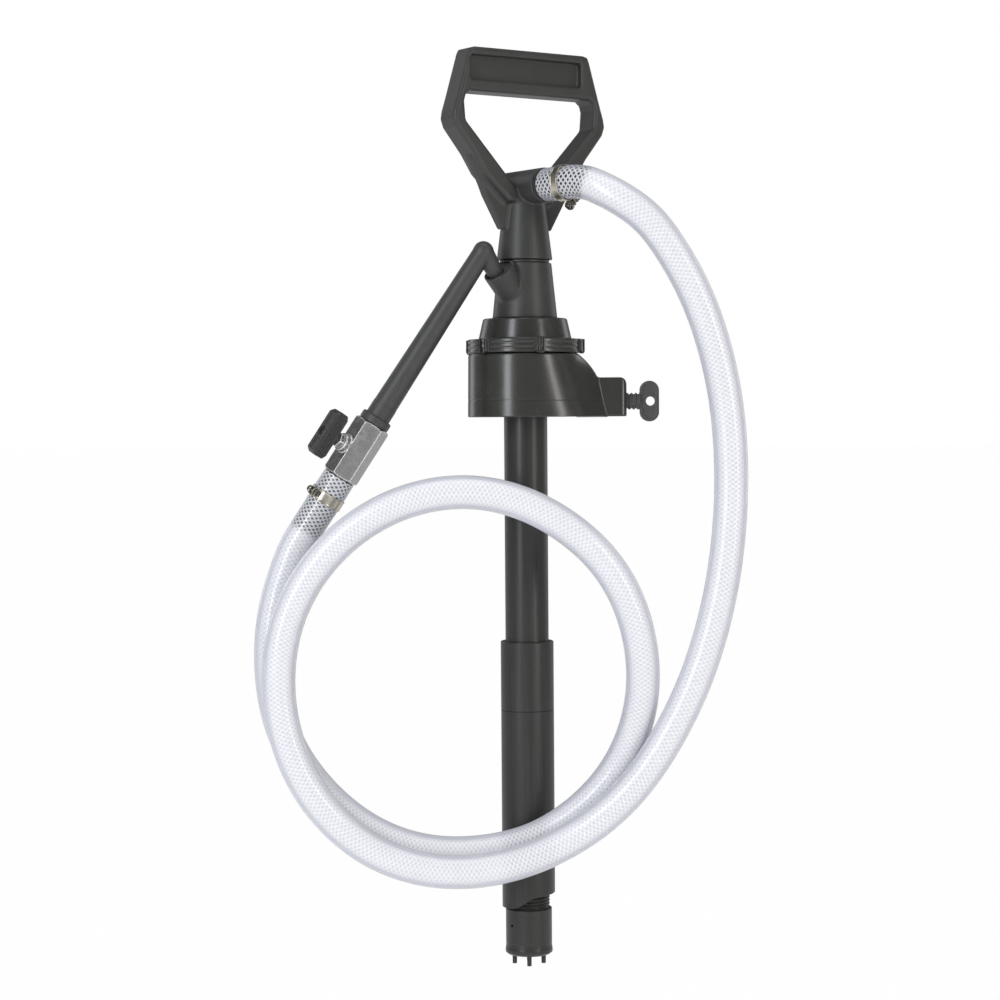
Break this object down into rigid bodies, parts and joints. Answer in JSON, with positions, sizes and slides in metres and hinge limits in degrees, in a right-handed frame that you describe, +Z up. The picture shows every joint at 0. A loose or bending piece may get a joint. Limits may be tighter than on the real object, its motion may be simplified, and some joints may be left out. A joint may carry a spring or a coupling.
{
  "type": "lift action drum transfer pump",
  "caption": "Push-pull hand pump for a drum: D-grip plunger on a telescopic suction tube, neck clamp with thumb screw, braided hose, ball valve and bent delivery lance",
  "frame": {"origin": "on the seat inside the drum neck adapter that rests on the drum neck's rim, 40 mm to the -X side of the pump axis", "axes": "+Z up, parallel to the pump axis, +X along the thumb screw away from the pump, -Y towards the side the hose coil hangs on"},
  "size_m": [0.4472, 0.1473, 0.845],
  "materials": {
    "gloss_black": "gloss moulded polypropylene",
    "satin_black": "satin moulded polypropylene",
    "tube_black": "extruded pipe, faint lengthwise lines",
    "white_acetal": "turned natural plastic",
    "black_rubber": "smooth seal rubber",
    "steel_ball": "ground and polished",
    "stainless": "rolled strip, bright",
    "nickel": "nickel plated brass",
    "clear_braided_hose": "clear flexible tube with white braid"
  },
  "bodies": {
    "adapter": {"neck_clamp": "gloss_black", "tube_collet": "white_acetal"},
    "ring_nut": {"ring_nut": "gloss_black"},
    "clamp_pad": {"clamp_pad": "gloss_black"},
    "thumb_screw": {"thumb_screw": "satin_black"},
    "barrel": {"pump_head": "satin_black", "gland_nut": "satin_black", "rod_guide_bush": "white_acetal", "rod_seal": "black_rubber", "cylinder": "tube_black", "foot_valve_cap": "tube_black", "foot_valve_seat": "white_acetal", "foot_valve_oring": "black_rubber", "hose_run": "clear_braided_hose"},
    "foot_valve_ball": {"foot_valve_ball": "steel_ball"},
    "extension": {"extension_collar": "tube_black", "extension_tube": "tube_black", "extension_oring": "black_rubber"},
    "plunger": {"handle": "satin_black", "outlet_hose_tail": "satin_black", "plunger_rod": "white_acetal", "piston_body": "white_acetal", "piston_seal": "black_rubber", "piston_valve_seat": "white_acetal", "outlet_clamp_band": "stainless", "outlet_clamp_bolt": "stainless", "outlet_clamp_nut": "stainless", "hose_outlet_end": "clear_braided_hose"},
    "piston_valve_ball": {"piston_valve_ball": "steel_ball"},
    "lance": {"lance": "satin_black", "valve_body": "nickel", "valve_end_cap": "nickel", "valve_seat_upper": "white_acetal", "valve_seat_lower": "white_acetal", "stem_gland_nut": "nickel", "lance_hose_tail": "satin_black", "lance_clamp_band": "stainless", "lance_clamp_bolt": "stainless", "lance_clamp_nut": "stainless", "hose_lance_end": "clear_braided_hose"},
    "valve_lever": {"valve_lever": "satin_black", "valve_stem": "nickel", "valve_ball": "steel_ball", "lever_screw": "stainless"}
  },
  "joints": [
    {"name": "height_adjust", "type": "slide", "parent": "adapter", "child": "barrel", "axis": [0, 0, 1], "range_m": [0, 0.19]},
    {"name": "ring_nut_turn", "type": "hinge", "parent": "adapter", "child": "ring_nut", "pos_m": [0.04, 0, 0.017], "axis": [0, 0, 1], "range_deg": [0, 90]},
    {"name": "thumb_pad_slide", "type": "slide", "parent": "adapter", "child": "clamp_pad", "axis": [-1, 0, 0], "range_m": [0, 0.011]},
    {"name": "thumb_screw_turn", "type": "hinge", "parent": "clamp_pad", "child": "thumb_screw", "pos_m": [0.14, 0, -0.0391], "axis": [-1, 0, 0], "range_deg": [0, 992]},
    {"name": "pump_stroke", "type": "slide", "parent": "barrel", "child": "plunger", "axis": [0, 0, 1], "range_m": [0, 0.4]},
    {"name": "extension_slide", "type": "slide", "parent": "barrel", "child": "extension", "axis": [0, 0, -1], "range_m": [0, 0.185]},
    {"name": "foot_valve_lift", "type": "slide", "parent": "barrel", "child": "foot_valve_ball", "axis": [0, 0, 1], "range_m": [0, 0.006]},
    {"name": "piston_valve_lift", "type": "slide", "parent": "plunger", "child": "piston_valve_ball", "axis": [0, 0, 1], "range_m": [0, 0.006]},
    {"name": "lance_lift", "type": "slide", "parent": "barrel", "child": "lance", "axis": [-0.4529, -0.4229, 0.7849], "range_m": [0, 0.08]},
    {"name": "valve_lever_turn", "type": "hinge", "parent": "lance", "child": "valve_lever", "pos_m": [-0.11449, -0.036, -0.08232], "axis": [-0.6611, -0.6161, 0.4282], "range_deg": [0, 90]}
  ],
  "couplings": [
    {"joint": "thumb_screw_turn", "follows": "thumb_pad_slide", "rad_per_m": 1570.8}
  ]
}
